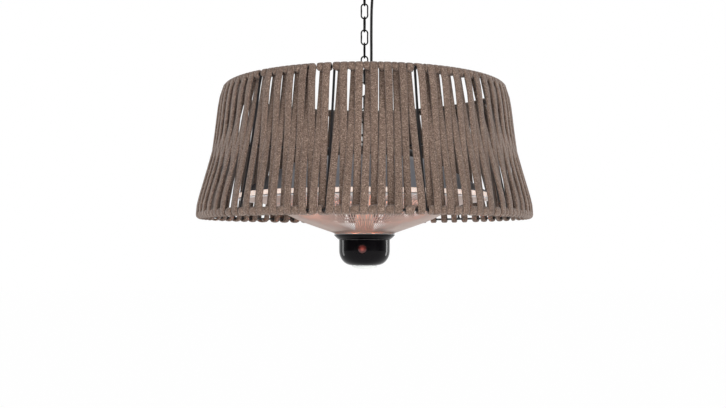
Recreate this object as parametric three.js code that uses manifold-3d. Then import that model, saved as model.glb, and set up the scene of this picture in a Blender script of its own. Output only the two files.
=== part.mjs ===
// A hanging patio heater: a spun reflector with halogen tubes and a wire guard, under a wide shade of
// rope wound on a wire frame, on a chain with an S-hook. Millimetres, +Z up, front at -Y.
// The origin is where the S-hook bears on what holds it, so the whole heater lies below zero.
import * as THREE from 'three';
import { mergeVertices } from 'three/addons/utils/BufferGeometryUtils.js';
import Module from 'manifold-3d';

const wasm = await Module();
wasm.setup();

// Clearances shared by all pieces
const seatGap = 0.3;
const cutOverrun = 2;

// Shade, measured over the rope
const shadeHeight = 235;
const shadeTopDiameter = 508;
const shadeBottomDiameter = 600;
const wallBowShare = 0.075;
const ringRodDiameter = 4;
const wallRodDiameter = 4;
const wallRodCount = 12;
const firstRodAngle = -41.8;
const ropeWidth = 10;
const ropeThickness = 3.5;
const ropeClearance = 1.45;
const strandsEachBay = 12;
const strandsFrontBay = 10;
const frontBay = 1;
const firstStrandShare = 0.07;
const lastStrandShare = 0.93;
const slantShare = 0.06;
const shoulderShare = 0.12;
const shoulderBulge = 2.6;

// Shade spider, which stands on the heater and carries the shade's frame
const spiderArmWidth = 8;
const spiderThickness = 3;
const spiderHubDiameter = 30;
const spiderArmCount = 3;
const firstArmRod = 3;
const stopCollarDiameter = 8;
const stopCollarHeight = 4;

// Reflector
const reflectorDiameter = 452;
const reflectorCrownDiameter = 180;
const reflectorRise = 63;
const reflectorBandHeight = 12;
const reflectorWall = 1.5;
const reflectorBottomZ = 34;
const reflectorDomeShares = [[1, 0], [0.85, 0.2], [0.58, 0.55], [0.22, 0.92], [0, 1]];

// Top cover over the reflector's crown
const coverDiameter = 182;
const coverHeight = 15;
const coverWall = 2;
const coverShoulder = 6;
const coverRoundShare = 0.3;

// Eye bolt and its nuts
const shankDiameter = 8;
const shankClearance = 0.4;
const eyeWire = 4;
const eyeInner = 12;
const eyeNeck = 0.6;
const eyeSteps = 14;
const nutAcross = 15;
const nutHeight = 8;

// Chain
const linkCount = 13;
const linkWire = 2.6;
const linkInnerLength = 24;
const linkInnerWidth = 9.2;

// S-hook
const hookWire = 4.5;
const hookLowerInner = 18;
const hookUpperInner = 28;
const hookSpineRise = 40;
const hookTipAngle = 20;
const hookArcStep = 20;
const hookSpineSteps = 6;

// Lamps and what carries them
const lampCount = 3;
const lampDistance = 52;
const lampLength = 132;
const quartzDiameter = 10;
const lampCapDiameter = 15;
const lampCapLength = 16;
const lampBelowCrown = 44;
const carrierDiameter = 176;
const carrierThickness = 2;
const earWidth = 18;
const earThickness = 1.5;
const earOverhang = 8;

// Centre column, which carries the wiring down to the control housing
const columnDiameter = 34;
const columnWall = 2;

// Wire guard
const guardRingWire = 4;
const guardRimClearance = 1.2;
const guardWire = 1.8;
const guardWireCount = 32;
const guardHubRadius = 54;
const guardHubZ = -24;
const guardOuterShares = [[0.73, 0.14]];
const guardInnerShares = [[0.327, 0.68]];
const guardMidShare = 0.482;
const guardMidDropShare = 0.488;

// Chrome hub ring under the guard
const hubRingDiameter = 112;
const hubRingThickness = 2;
const hubRingBore = 26;
const hubRingBead = 1.4;

// Control housing
const collarDiameter = 110;
const collarHeight = 9;
const housingDiameter = 92;
const housingHeight = 46;
const housingFootDiameter = 46;
const housingStraightShare = 0.42;
const housingWall = 3;
const boardThickness = 1.6;
const boardDrop = 4;
const ledgeWidth = 3;
const windowDiameter = 17;
const windowDrop = 7.7;
const windowOffset = -4;
const windowFlange = 1.8;
const windowDome = 2.2;
const windowDomeShares = [[1, 0], [0.75, 0.6], [0, 1]];
const diffuserHeight = 6;
const diffuserFlange = 2;
const diffuserShares = [[1, 0], [0.94, 0.55], [0.7, 0.88], [0, 1]];

// Mains lead, its gland, coil, tie and plug
const leadDiameter = 4.8;
const glandX = 24;
const glandHeight = 20;
const glandFlangeDiameter = 17;
const glandFlangeHeight = 4;
const glandTipDiameter = 8;
const coilOuterTurn = 31.5;
const coilPitch = 5.35;
const coilCentreX = 47.5;
const coilCentreZ = 436;
const coilTurns = 8.375;
const coilLayers = 4;
const turnsEachLayer = 2;
const coilStepsEachTurn = 16;
const climbTurns = 0.5;
const tieThickness = 1.1;
const tieWidth = 4;
const plugBodyDiameter = 37;
const plugBodyLength = 26;
const plugBootLength = 24;
const plugBootTip = 8;
const plugBootRoot = 14;
const plugBodyShares = [[0.8, 0.2], [1, 0.45], [1, 1], [0, 1]];
const pinDiameter = 4.8;
const pinLength = 19;
const pinSpacing = 19;

// Free stretch of the lead from the gland to the coil, chosen by hand, as [x, y, z]
const leadRoute = [
  [24, 0, 144.9], [24, 0, 152], [23.4, 0, 164], [21.2, 0, 180], [17.8, 0, 197],
  [14.8, 0, 214], [13, 0, 232], [12.5, 0, 252], [12.4, 0, 278], [12.5, 0, 304],
  [12.4, 0, 330], [12.5, 0, 354], [12.8, 0, 376], [13.8, 0, 396], [15.2, 0, 414],
  [15.9, 0, 425], [16, 0, 430.9],
];

// Facet counts
const dishSides = 36;
const roundSides = 28;
const mediumSides = 18;
const smallSides = 12;
const wireSides = 6;
const slimSides = 5;
const ringFacets = 48;
const linkBendSteps = 4;
const bowlSteps = 4;
const rodSteps = 4;
const bendSteps = 3;
const routeSteps = 20;
const routeSides = 8;

// Heights above the shade's lowest point, each from its neighbours
const wrapReach = ringRodDiameter / 2 + ropeClearance + ropeThickness / 2;
const wrapOuter = wrapReach + ropeThickness / 2;
const topRingRadius = shadeTopDiameter / 2 - wrapOuter;
const bottomRingRadius = shadeBottomDiameter / 2 - wrapOuter;
const topRingZ = shadeHeight - wrapOuter;
const bottomRingZ = wrapOuter;
const crownZ = reflectorBottomZ + reflectorBandHeight + reflectorRise;
const coverBottomZ = crownZ + seatGap;
const coverTopZ = coverBottomZ + coverHeight;
const spiderZ = coverTopZ + seatGap;
const upperNutZ = spiderZ + spiderThickness + seatGap;
const eyeZ = upperNutZ + nutHeight + eyeNeck + eyeWire + eyeInner / 2;
const carrierTopZ = crownZ - reflectorWall - seatGap;
const columnTopZ = carrierTopZ - carrierThickness - seatGap;
const hubRingTopZ = guardHubZ - guardWire / 2 - seatGap;
const collarTopZ = hubRingTopZ - hubRingThickness - seatGap;
const housingTopZ = collarTopZ - collarHeight - seatGap;
const linkPitch = linkInnerLength - seatGap;
const lowestLinkZ = eyeZ + eyeInner / 2 - seatGap + linkInnerLength / 2;
const highestLinkZ = lowestLinkZ + (linkCount - 1) * linkPitch;
const hookLowerRadius = (hookLowerInner + hookWire) / 2;
const hookUpperRadius = (hookUpperInner + hookWire) / 2;
const hookLowerZ = highestLinkZ + linkInnerLength / 2 - seatGap + hookLowerInner / 2;
const hookUpperZ = hookLowerZ + hookSpineRise;
const hangHeight = hookUpperZ + hookUpperInner / 2;

const degree = Math.PI / 180;
const alongZ = new THREE.Vector3(0, 0, 1);
const alongY = new THREE.Vector3(0, 1, 0);

// A place on a circle about the axis, at an angle from the front, growing towards +X
function around(radius, angle, z) {
  return new THREE.Vector3(radius * Math.sin(angle * degree), -radius * Math.cos(angle * degree), z);
}

function tangentAt(angle) {
  return new THREE.Vector3(Math.cos(angle * degree), Math.sin(angle * degree), 0);
}

// Merges the seams, drops triangles without area and turns the faces outward
function tidy(geometry) {
  const bare = geometry.clone();
  bare.deleteAttribute('normal');
  bare.deleteAttribute('uv');
  const merged = mergeVertices(bare, 1e-4);
  const kept = [];
  const corner = [new THREE.Vector3(), new THREE.Vector3(), new THREE.Vector3()];
  let volume = 0;
  for (let i = 0; i < merged.index.count; i += 3) {
    const face = [0, 1, 2].map((k) => merged.index.getX(i + k));
    if (new Set(face).size === 3) {
      face.forEach((vertex, k) => corner[k].fromBufferAttribute(merged.attributes.position, vertex));
      volume += corner[0].dot(corner[1].clone().cross(corner[2]));
      kept.push(...face);
    }
  }
  if (volume < 0) {
    kept.reverse();
  }
  merged.setIndex(kept);
  return merged;
}

function toSolid(geometry) {
  const clean = tidy(geometry);
  const vertProperties = new Float32Array(clean.attributes.position.array);
  const triVerts = new Uint32Array(clean.index.array);
  return new wasm.Manifold(new wasm.Mesh({ numProp: 3, vertProperties, triVerts }));
}

function toGeometry(solid) {
  const mesh = solid.getMesh();
  const geometry = new THREE.BufferGeometry();
  geometry.setAttribute('position', new THREE.BufferAttribute(new Float32Array(mesh.vertProperties), 3));
  geometry.setIndex(Array.from(mesh.triVerts));
  return geometry;
}

function joined(geometries) {
  return toGeometry(geometries.map(toSolid).reduce((all, solid) => all.add(solid)));
}

function cut(geometry, tools) {
  return toGeometry(tools.map(toSolid).reduce((all, solid) => all.subtract(solid), toSolid(geometry)));
}

// A body turned about Z from a list of [radius, z]
function turned(profile, sides = roundSides) {
  const points = profile.map(([radius, z]) => new THREE.Vector2(radius, z));
  return new THREE.LatheGeometry(points, sides).rotateX(Math.PI / 2);
}

// The same, with the profile closed on itself to leave a bore
function turnedRing(profile, sides = roundSides) {
  return turned([...profile, profile[0]], sides);
}

function rod(diameter, length, sides = smallSides) {
  return new THREE.CylinderGeometry(diameter / 2, diameter / 2, length, sides).rotateX(Math.PI / 2);
}

// A flat outline of [x, y] raised to a thickness from z
function plate(outline, z, thickness, holes = []) {
  const shape = new THREE.Shape(outline.map(([x, y]) => new THREE.Vector2(x, y)));
  for (const hole of holes) {
    shape.holes.push(new THREE.Path(hole.map(([x, y]) => new THREE.Vector2(x, y))));
  }
  const body = new THREE.ExtrudeGeometry(shape, { depth: thickness, bevelEnabled: false, steps: 1 });
  return body.translate(0, 0, z);
}

function polygon(radius, sides, turn = 0) {
  const corners = [];
  for (let i = 0; i < sides; i += 1) {
    const angle = turn + (2 * Math.PI * i) / sides;
    corners.push([radius * Math.cos(angle), radius * Math.sin(angle)]);
  }
  return corners;
}

function rectangle(width, height) {
  return [
    [width / 2, height / 2], [-width / 2, height / 2],
    [-width / 2, -height / 2], [width / 2, -height / 2],
  ];
}

// Carries a section outline along points, each with the direction that the outline's first axis takes,
// and joins the outlines into one skin, closed on itself or capped at both ends
function sweep(points, sides, outline, closed) {
  const count = outline.length;
  const position = [];
  const index = [];
  points.forEach((point, i) => {
    const before = points[closed ? (i + points.length - 1) % points.length : Math.max(i - 1, 0)];
    const after = points[closed ? (i + 1) % points.length : Math.min(i + 1, points.length - 1)];
    const arriving = point.clone().sub(before).normalize();
    const leaving = after.clone().sub(point).normalize();
    const ahead = arriving.add(leaving).normalize();
    const up = ahead.cross(sides[i]).normalize();
    for (const [s, u] of outline) {
      const corner = point.clone().addScaledVector(sides[i], s).addScaledVector(up, u);
      position.push(corner.x, corner.y, corner.z);
    }
  });
  const spans = closed ? points.length : points.length - 1;
  for (let span = 0; span < spans; span += 1) {
    const near = span * count;
    const far = ((span + 1) % points.length) * count;
    for (let k = 0; k < count; k += 1) {
      const next = (k + 1) % count;
      index.push(near + k, near + next, far + next, near + k, far + next, far + k);
    }
  }
  if (!closed) {
    const last = (points.length - 1) * count;
    for (let k = 1; k < count - 1; k += 1) {
      index.push(0, k + 1, k, last, last + k, last + k + 1);
    }
  }
  const geometry = new THREE.BufferGeometry();
  geometry.setAttribute('position', new THREE.Float32BufferAttribute(position, 3));
  geometry.setIndex(index);
  return geometry;
}

// A tube along a smooth open curve
function tube(route, diameter, steps, sides) {
  const curve = new THREE.CatmullRomCurve3(route.map((point) => new THREE.Vector3(...point)));
  const section = new THREE.Shape(polygon(diameter / 2, sides).map(([x, y]) => new THREE.Vector2(x, y)));
  return new THREE.ExtrudeGeometry(section, { steps, extrudePath: curve, bevelEnabled: false });
}

const finishes = {
  blackSteel: { color: 0x26262a, roughness: 0.45, metalness: 0.8 },
  rope: { color: 0x7d6a60, roughness: 0.95, metalness: 0 },
  aluminium: { color: 0xb9bbbd, roughness: 0.35, metalness: 0.9 },
  chrome: { color: 0xd8d4d0, roughness: 0.12, metalness: 1 },
  zinc: { color: 0x9a9c9e, roughness: 0.4, metalness: 0.9 },
  blackPlastic: { color: 0x151517, roughness: 0.2, metalness: 0 },
  rubber: { color: 0x1c1c1d, roughness: 0.75, metalness: 0 },
  quartz: { color: 0xd88a5a, roughness: 0.1, metalness: 0 },
  redLens: { color: 0x8a2a26, roughness: 0.15, metalness: 0 },
  opal: { color: 0xe9ebe8, roughness: 0.4, metalness: 0 },
  board: { color: 0x2f6b45, roughness: 0.6, metalness: 0 },
};

const heater = new THREE.Group();
heater.position.z = -hangHeight;

function add(name, geometry, finish) {
  const mesh = new THREE.Mesh(tidy(geometry), new THREE.MeshStandardMaterial(finishes[finish]));
  mesh.name = name;
  heater.add(mesh);
  return mesh;
}

const rodPitch = 360 / wallRodCount;

function rodAngle(i) {
  return firstRodAngle + i * rodPitch;
}

// The wall runs straight from ring to ring but for a slight waist
function wallRadius(z) {
  const fall = (topRingZ - z) / (topRingZ - bottomRingZ);
  const share = fall - wallBowShare * Math.sin(Math.PI * fall);
  return topRingRadius + (bottomRingRadius - topRingRadius) * share;
}

// A wire ring whose facets lie as far inside its true circle as outside it
function ringOf(radius, z, diameter) {
  const points = [];
  const directions = [];
  const cornerRadius = (2 * radius) / (1 + Math.cos(Math.PI / ringFacets));
  for (let i = 0; i < ringFacets; i += 1) {
    points.push(around(cornerRadius, firstRodAngle + (360 * (i + 0.5)) / ringFacets, z));
    directions.push(alongZ);
  }
  return sweep(points, directions, polygon(diameter / 2, slimSides), true);
}

// The welded frame: two rings, the wall rods between them, and stops that rest on the spider's arms
function shadeFrame() {
  const pieces = [
    ringOf(topRingRadius, topRingZ, ringRodDiameter),
    ringOf(bottomRingRadius, bottomRingZ, ringRodDiameter),
  ];
  for (let i = 0; i < wallRodCount; i += 1) {
    const points = [];
    const directions = [];
    for (let k = 0; k <= rodSteps; k += 1) {
      const z = topRingZ + ((bottomRingZ - topRingZ) * k) / rodSteps;
      points.push(around(wallRadius(z), rodAngle(i), z));
      directions.push(tangentAt(rodAngle(i)));
    }
    pieces.push(sweep(points, directions, polygon(wallRodDiameter / 2, slimSides), false));
  }
  for (let arm = 0; arm < spiderArmCount; arm += 1) {
    const angle = armAngle(arm);
    const z = spiderZ + spiderThickness + seatGap + stopCollarHeight / 2;
    const place = around(wallRadius(z), angle, z);
    pieces.push(rod(stopCollarDiameter, stopCollarHeight).translate(place.x, place.y, place.z));
  }
  return joined(pieces);
}

function armAngle(arm) {
  return rodAngle(firstArmRod + (arm * wallRodCount) / spiderArmCount);
}

// A hub under the eye bolt's nut, with arms forked round three of the wall rods
function shadeSpider() {
  const hubHole = shankDiameter + 2 * shankClearance;
  const z = spiderZ + spiderThickness / 2;
  const lean = wallRadius(z - spiderThickness / 2) - wallRadius(z + spiderThickness / 2);
  const rodHole = wallRodDiameter + 2 * seatGap + lean;
  const pieces = [rod(spiderHubDiameter, spiderThickness, roundSides).translate(0, 0, z)];
  const cuts = [rod(hubHole, spiderThickness + cutOverrun).translate(0, 0, z)];
  for (let arm = 0; arm < spiderArmCount; arm += 1) {
    const angle = armAngle(arm);
    const reach = wallRadius(z);
    const middle = around(reach / 2, angle, z);
    const turn = (angle - 90) * degree;
    pieces.push(
      new THREE.BoxGeometry(reach, spiderArmWidth, spiderThickness)
        .rotateZ(turn)
        .translate(middle.x, middle.y, middle.z),
    );
    const end = around(reach, angle, z);
    cuts.push(rod(rodHole, spiderThickness + cutOverrun).translate(end.x, end.y, end.z));
  }
  return cut(joined(pieces), cuts);
}

// One bay of rope between two wall rods, as one unbroken flat strand. It goes down from outside the top
// ring to inside the bottom ring, round that ring, up from its outside to inside the top ring, and over
// that ring to the next. A strand stands out a little just past the ring that it leaves on the outside
function ropeBay(bay) {
  const points = [];
  const directions = [];
  const place = (radius, angle, z) => {
    points.push(around(radius, angle, z));
    directions.push(tangentAt(angle));
  };
  const strands = bay === frontBay ? strandsFrontBay : strandsEachBay;
  const pitch = (rodPitch * (lastStrandShare - firstStrandShare)) / (strands - 1);
  const slant = pitch * slantShare;
  const first = rodAngle(bay) + rodPitch * firstStrandShare;
  const top = [topRingRadius, topRingZ];
  const bottom = [bottomRingRadius, bottomRingZ];
  const bend = (strand, from, to) => {
    const goesDown = strand % 2 === 0;
    const [ringRadius, ringZ] = goesDown ? bottom : top;
    for (let k = from; k <= to; k += 1) {
      const share = k / bendSteps;
      const turn = Math.PI * share;
      const angle = first + pitch * (strand + share) + slant * (2 * share - 1);
      const rise = wrapReach * Math.sin(turn) * (goesDown ? -1 : 1);
      place(ringRadius - wrapReach * Math.cos(turn), angle, ringZ + rise);
    }
  };
  const shoulder = (strand) => {
    const goesDown = strand % 2 === 0;
    const [[fromRadius, fromZ], [toRadius, toZ]] = goesDown ? [top, bottom] : [bottom, top];
    const radius = THREE.MathUtils.lerp(fromRadius + wrapReach, toRadius - wrapReach, shoulderShare);
    const angle = first + pitch * strand + slant * (1 - 2 * shoulderShare);
    place(radius + shoulderBulge, angle, THREE.MathUtils.lerp(fromZ, toZ, shoulderShare));
  };
  bend(-1, 1, bendSteps);
  for (let strand = 0; strand < strands; strand += 1) {
    shoulder(strand);
    bend(strand, 0, strand < strands - 1 ? bendSteps : 0);
  }
  reportGap(`rope bay ${bay + 1}`, points, directions, ropeWidth, ropeThickness, bendSteps);
  return sweep(points, directions, rectangle(ropeWidth, ropeThickness), false);
}

// Prints the least gap between stretches of a winding that lie at least a number of steps apart,
// measured on points along its middle and, where it is flat, in lanes across its width
function reportGap(name, points, directions, width, thickness, apart) {
  const finer = 24;
  const lanes = width > thickness ? [-1, -0.5, 0, 0.5, 1] : [0];
  const rows = [];
  for (let i = 0; i < points.length - 1; i += 1) {
    for (let k = 0; k < finer; k += 1) {
      const middle = points[i].clone().lerp(points[i + 1], k / finer);
      rows.push(lanes.map((lane) =>
        middle.clone().addScaledVector(directions[i], (lane * (width - thickness)) / 2)));
    }
  }
  let least = Infinity;
  for (let i = 0; i < rows.length; i += 1) {
    for (let j = i + apart * finer; j < rows.length; j += 1) {
      if (rows[i][0].distanceTo(rows[j][0]) < 3 * width) {
        for (const a of rows[i]) {
          for (const b of rows[j]) {
            least = Math.min(least, a.distanceTo(b));
          }
        }
      }
    }
  }
  console.log(`${name}: least gap to itself ${(least - thickness).toFixed(2)} mm`);
}

// A stadium of round wire, standing along Z in the XZ plane
function chainLink() {
  const bendRadius = (linkInnerWidth + linkWire) / 2;
  const straight = linkInnerLength - linkInnerWidth;
  const points = [];
  const directions = [];
  for (const end of [1, -1]) {
    for (let k = 0; k <= linkBendSteps; k += 1) {
      const turn = Math.PI * (k / linkBendSteps) + (end < 0 ? Math.PI : 0);
      const z = (end * straight) / 2 + bendRadius * Math.sin(turn);
      points.push(new THREE.Vector3(bendRadius * Math.cos(turn), 0, z));
      directions.push(alongY);
    }
  }
  return sweep(points, directions, polygon(linkWire / 2, wireSides, Math.PI / wireSides), true);
}

function sHook() {
  const points = [];
  const tip = hookTipAngle;
  for (let angle = tip; angle >= -180; angle -= hookArcStep) {
    const turn = angle * degree;
    const z = hookLowerZ + hookLowerRadius * Math.sin(turn);
    points.push(new THREE.Vector3(hookLowerRadius * Math.cos(turn), 0, z));
  }
  const lift = hookSpineRise / 2;
  const spine = new THREE.CubicBezierCurve3(
    new THREE.Vector3(-hookLowerRadius, 0, hookLowerZ),
    new THREE.Vector3(-hookLowerRadius, 0, hookLowerZ + lift),
    new THREE.Vector3(hookUpperRadius, 0, hookUpperZ - lift),
    new THREE.Vector3(hookUpperRadius, 0, hookUpperZ),
  );
  points.push(...spine.getPoints(hookSpineSteps).slice(1, -1));
  for (let angle = 0; angle <= 180 + tip; angle += hookArcStep) {
    const turn = angle * degree;
    const z = hookUpperZ + hookUpperRadius * Math.sin(turn);
    points.push(new THREE.Vector3(hookUpperRadius * Math.cos(turn), 0, z));
  }
  const directions = points.map(() => alongY);
  return sweep(points, directions, polygon(hookWire / 2, wireSides), false);
}

// The eye stands in the XZ plane, so that the lowest link passes through it
function eyeBolt() {
  const eyeRadius = (eyeInner + eyeWire) / 2;
  const points = [];
  for (let i = 0; i < eyeSteps; i += 1) {
    const turn = (2 * Math.PI * i) / eyeSteps;
    points.push(new THREE.Vector3(eyeRadius * Math.cos(turn), 0, eyeZ + eyeRadius * Math.sin(turn)));
  }
  const eye = sweep(points, points.map(() => alongY), polygon(eyeWire / 2, wireSides), true);
  const shankTop = eyeZ - eyeRadius;
  const shankBottom = columnTopZ - columnWall - nutHeight - 2 * seatGap - shankDiameter / 2;
  const shank = rod(shankDiameter, shankTop - shankBottom).translate(0, 0, (shankTop + shankBottom) / 2);
  return joined([eye, shank]);
}

function nut(bottomZ) {
  const bore = polygon(shankDiameter / 2 + seatGap, smallSides);
  return plate(polygon(nutAcross / 2, 6), bottomZ, nutHeight, [bore]);
}

// A thin spun shell: a domed crown, flaring to an upright band, with a bead at its lower edge
function reflector() {
  const outer = reflectorDiameter / 2;
  const crown = reflectorCrownDiameter / 2;
  const bandTop = reflectorBottomZ + reflectorBandHeight;
  const bore = shankDiameter / 2 + shankClearance;
  const lip = outer - reflectorWall;
  const skin = reflectorDomeShares.map(([reach, rise]) => [
    crown + (lip - crown) * reach,
    bandTop + reflectorRise * rise,
  ]);
  const inside = [...skin].reverse().map(([radius, z]) => [radius - reflectorWall / 2, z - reflectorWall]);
  return turnedRing([
    [bore, crownZ],
    ...[...skin].reverse(),
    [outer, bandTop],
    [outer, reflectorBottomZ],
    [lip, reflectorBottomZ],
    [lip, bandTop - reflectorWall],
    ...inside.reverse().slice(1),
    [bore, crownZ - reflectorWall],
  ], dishSides);
}

function topCover() {
  const outer = coverDiameter / 2;
  const bore = shankDiameter / 2 + shankClearance;
  return turnedRing([
    [bore, coverTopZ],
    [outer - coverShoulder, coverTopZ],
    [outer - coverShoulder * coverRoundShare, coverTopZ - coverShoulder * coverRoundShare],
    [outer, coverTopZ - coverShoulder],
    [outer, coverBottomZ],
    [outer - coverWall, coverBottomZ],
    [outer - coverWall, coverTopZ - coverShoulder],
    [outer - coverShoulder, coverTopZ - coverWall],
    [spiderHubDiameter / 2, coverTopZ - coverWall],
    [spiderHubDiameter / 2, coverBottomZ],
    [bore, coverBottomZ],
  ]);
}

function cableGland() {
  const tip = glandTipDiameter / 2;
  const flange = glandFlangeDiameter / 2;
  const neck = (flange + tip) / 2;
  return turned([
    [0, 0],
    [flange, 0],
    [flange, glandFlangeHeight],
    [neck, glandFlangeHeight],
    [tip, glandHeight],
    [0, glandHeight],
  ], smallSides).translate(glandX, 0, coverTopZ + seatGap);
}

// A flat ring under the crown, with an ear at each end of each lamp
function lampCarrier() {
  const plateZ = carrierTopZ - carrierThickness;
  const bore = shankDiameter + 2 * shankClearance;
  const middleZ = plateZ + carrierThickness / 2;
  const pieces = [rod(carrierDiameter, carrierThickness, roundSides).translate(0, 0, middleZ)];
  const earBottom = lampZ() - earOverhang;
  const earHeight = middleZ - earBottom;
  const earPlace = lampLength / 2 + seatGap + earThickness / 2;
  for (let lamp = 0; lamp < lampCount; lamp += 1) {
    for (const end of [1, -1]) {
      const ear = new THREE.BoxGeometry(earThickness, earWidth, earHeight);
      ear.translate(end * earPlace, -lampDistance, earBottom + earHeight / 2);
      pieces.push(ear.rotateZ(lampTurn(lamp)));
    }
  }
  const hole = rod(bore, carrierThickness + cutOverrun).translate(0, 0, middleZ);
  return cut(joined(pieces), [hole]);
}

function lampZ() {
  return crownZ - lampBelowCrown;
}

function lampTurn(lamp) {
  return (2 * Math.PI * lamp) / lampCount;
}

// A quartz tube with a ceramic cap at each end, lying along X before it is turned to its place
function halogenTube(lamp) {
  const half = lampLength / 2;
  const body = turned([
    [0, -half],
    [lampCapDiameter / 2, -half],
    [lampCapDiameter / 2, -half + lampCapLength],
    [quartzDiameter / 2, -half + lampCapLength],
    [quartzDiameter / 2, half - lampCapLength],
    [lampCapDiameter / 2, half - lampCapLength],
    [lampCapDiameter / 2, half],
    [0, half],
  ], smallSides);
  return body.rotateY(Math.PI / 2).translate(0, -lampDistance, lampZ()).rotateZ(lampTurn(lamp));
}

function centreColumn() {
  const outer = columnDiameter / 2;
  const inner = outer - columnWall;
  const bore = shankDiameter / 2 + shankClearance;
  const bottom = hubRingTopZ + seatGap;
  return turnedRing([
    [bore, columnTopZ],
    [outer, columnTopZ],
    [outer, bottom],
    [inner, bottom],
    [inner, columnTopZ - columnWall],
    [bore, columnTopZ - columnWall],
  ], mediumSides);
}

function guardRadius(share) {
  const rim = reflectorDiameter / 2 - reflectorWall - guardRimClearance - guardRingWire / 2;
  return guardHubRadius + (rim - guardHubRadius) * share;
}

function guardHeight(dropShare) {
  const rimZ = reflectorBottomZ + guardRingWire / 2;
  return rimZ + (guardHubZ - rimZ) * dropShare;
}

// Radial bars welded to a rim hoop, a middle hoop and a hub hoop, as one skin over a polar grid.
// Each station is a circle [radius, z, hoop], where hoop says that the band up to the next circle is
// closed all round; a station's columns are the two edges of every bar
function wireGuard() {
  const rim = guardRadius(1);
  const stations = [
    [rim + guardRingWire / 2, guardHeight(0), true],
    [rim - guardRingWire / 2, guardHeight(0), false],
    ...guardOuterShares.map(([reach, drop]) => [guardRadius(reach), guardHeight(drop), false]),
    [guardRadius(guardMidShare) + guardWire / 2, guardHeight(guardMidDropShare), true],
    [guardRadius(guardMidShare) - guardWire / 2, guardHeight(guardMidDropShare), false],
    ...guardInnerShares.map(([reach, drop]) => [guardRadius(reach), guardHeight(drop), false]),
    [guardRadius(0) + guardWire, guardHeight(1), true],
    [guardRadius(0) - guardWire, guardHeight(1), false],
  ];
  const columns = guardWireCount * 2;
  const position = [];
  for (const [radius, z] of stations) {
    const halfAngle = guardWire / 2 / radius / degree;
    for (let column = 0; column < columns; column += 1) {
      const bar = Math.floor(column / 2);
      const angle = (360 * bar) / guardWireCount + (column % 2 ? halfAngle : -halfAngle);
      for (const side of [1, -1]) {
        position.push(...around(radius, angle, z + (side * guardWire) / 2));
      }
    }
  }
  const index = [];
  const vertex = (station, column, side) => (station * columns + (column % columns)) * 2 + side;
  const filled = (band, column) => {
    const inside = band >= 0 && band < stations.length - 1;
    return inside && (stations[band][2] || (column + columns) % 2 === 0);
  };
  const quad = (a, b, c, d) => index.push(a, b, c, a, c, d);
  for (let band = 0; band < stations.length - 1; band += 1) {
    for (let column = 0; column < columns; column += 1) {
      if (filled(band, column)) {
        const [a, b, c, d] = [
          [band, column], [band, column + 1], [band + 1, column + 1], [band + 1, column],
        ];
        quad(vertex(...a, 0), vertex(...b, 0), vertex(...c, 0), vertex(...d, 0));
        quad(vertex(...d, 1), vertex(...c, 1), vertex(...b, 1), vertex(...a, 1));
        const walls = [
          [filled(band - 1, column), a, b], [filled(band, column + 1), b, c],
          [filled(band + 1, column), c, d], [filled(band, column + columns - 1), d, a],
        ];
        for (const [neighbour, from, to] of walls) {
          if (!neighbour) {
            quad(vertex(...to, 0), vertex(...from, 0), vertex(...from, 1), vertex(...to, 1));
          }
        }
      }
    }
  }
  const geometry = new THREE.BufferGeometry();
  geometry.setAttribute('position', new THREE.Float32BufferAttribute(position, 3));
  geometry.setIndex(index);
  return geometry;
}

// A chrome washer with a rolled outer edge, between the guard's hub and the housing
function hubRing() {
  const outer = hubRingDiameter / 2;
  const bottom = hubRingTopZ - hubRingThickness;
  return turnedRing([
    [hubRingBore / 2, hubRingTopZ],
    [outer - hubRingBead, hubRingTopZ],
    [outer, hubRingTopZ - hubRingThickness / 2],
    [outer - hubRingBead, bottom],
    [hubRingBore / 2, bottom],
  ]);
}

function housingCollar() {
  const top = collarDiameter / 2;
  const foot = housingDiameter / 2;
  const bottom = collarTopZ - collarHeight;
  return turnedRing([
    [top - housingWall, collarTopZ],
    [top, collarTopZ],
    [foot, bottom],
    [foot - housingWall, bottom],
  ]);
}

// The moulded bowl: upright sides, then a rounded foot down to the light's opening, with a ledge
// inside for the control board and a hole in front for the receiver's window
function housingShell() {
  const outer = housingDiameter / 2;
  const foot = housingFootDiameter / 2;
  const bottom = housingTopZ - housingHeight;
  const shoulderZ = housingTopZ - housingHeight * housingStraightShare;
  const drop = shoulderZ - bottom;
  const arc = (inset, steps) => {
    const line = [];
    for (let k = 0; k <= steps; k += 1) {
      const turn = (Math.PI / 2) * (k / steps);
      const radius = foot + (outer - foot) * Math.cos(turn) - inset;
      line.push([radius, shoulderZ - (drop - inset) * Math.sin(turn)]);
    }
    return line;
  };
  const ledgeZ = housingTopZ - boardDrop - boardThickness - seatGap;
  const inner = outer - housingWall;
  const shell = turnedRing([
    [outer, housingTopZ],
    ...arc(0, bowlSteps),
    ...arc(housingWall, bowlSteps / 2).reverse(),
    [inner, shoulderZ + ledgeWidth],
    [inner, ledgeZ - ledgeWidth],
    [inner - ledgeWidth, ledgeZ],
    [inner - ledgeWidth, ledgeZ + seatGap],
    [inner, ledgeZ + seatGap],
    [inner, housingTopZ],
  ]);
  const hole = rod(windowDiameter + 2 * seatGap, housingDiameter / 2)
    .rotateX(Math.PI / 2)
    .translate(windowOffset, -housingDiameter / 2, housingTopZ - windowDrop - windowDiameter / 2);
  return cut(shell, [hole]);
}

function controlBoard() {
  const radius = housingDiameter / 2 - housingWall - seatGap;
  const z = housingTopZ - boardDrop - boardThickness / 2 + seatGap;
  return rod(radius * 2, boardThickness, roundSides).translate(0, 0, z);
}

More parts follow.
